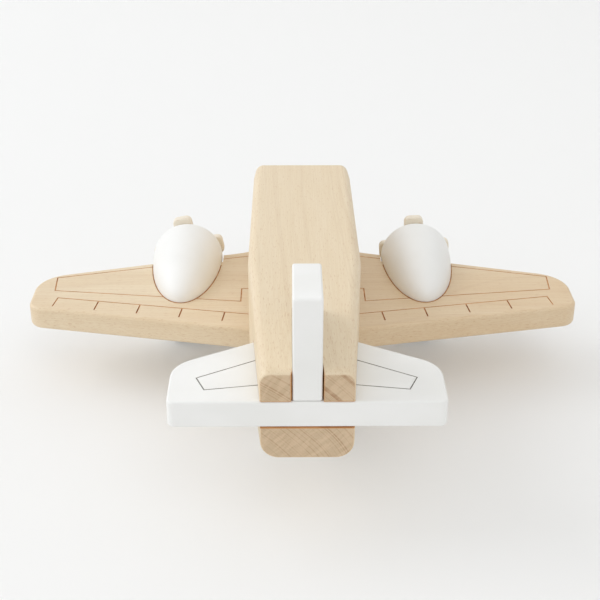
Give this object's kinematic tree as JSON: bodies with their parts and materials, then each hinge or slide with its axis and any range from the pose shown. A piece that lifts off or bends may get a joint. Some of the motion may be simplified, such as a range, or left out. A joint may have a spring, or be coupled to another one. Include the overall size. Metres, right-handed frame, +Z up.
{
  "type": "toy airplane",
  "caption": "Wooden push-along toy aeroplane with a block body, board wing and tail, wing-mounted engine pods, turning propellers and forked rollers underneath.",
  "frame": {"origin": "bottom centre of the whole object's box: on the floor, under the middle of the length and of the span", "axes": "+X along the wing span to the toy's right, +Y along the body towards the nose, +Z up from the floor the rollers stand on"},
  "size_m": [0.2842, 0.252, 0.1181],
  "materials": {
    "beech": "fine sanded pale beech, clear matt oil",
    "dowel": "turned beech dowel, clear matt oil",
    "white_paint": "wood under smooth satin white paint"
  },
  "bodies": {
    "airframe": {"fuselage": "beech", "wing": "beech", "tailplane": "white_paint", "fin": "white_paint", "wing_dowel_rear": "dowel", "wing_dowel_front": "dowel", "nacelle_left": "white_paint", "nacelle_right": "white_paint", "propeller_pin_left": "dowel", "propeller_pin_right": "dowel", "leg_left": "white_paint", "leg_right": "white_paint", "leg_rear": "white_paint", "axle_left": "dowel", "axle_right": "dowel", "axle_rear": "dowel", "leg_dowel_left": "dowel", "leg_dowel_right": "dowel", "leg_dowel_rear": "dowel"},
    "left_propeller": {"propeller_left": "beech"},
    "right_propeller": {"propeller_right": "beech"},
    "left_roller": {"roller_left": "white_paint"},
    "right_roller": {"roller_right": "white_paint"},
    "rear_roller": {"roller_rear": "white_paint"}
  },
  "joints": [
    {"name": "left_propeller_spin", "type": "hinge", "parent": "airframe", "child": "left_propeller", "pos_m": [-0.0635, 0.07825, 0.0462], "axis": [0, 1, 0], "continuous": true},
    {"name": "right_propeller_spin", "type": "hinge", "parent": "airframe", "child": "right_propeller", "pos_m": [0.0635, 0.07825, 0.0462], "axis": [0, 1, 0], "continuous": true},
    {"name": "left_roller_spin", "type": "hinge", "parent": "airframe", "child": "left_roller", "pos_m": [-0.0635, 0.057, 0.012], "axis": [1, 0, 0], "continuous": true},
    {"name": "right_roller_spin", "type": "hinge", "parent": "airframe", "child": "right_roller", "pos_m": [0.0635, 0.057, 0.012], "axis": [1, 0, 0], "continuous": true},
    {"name": "rear_roller_spin", "type": "hinge", "parent": "airframe", "child": "rear_roller", "pos_m": [0, -0.041, 0.012], "axis": [1, 0, 0], "continuous": true}
  ]
}
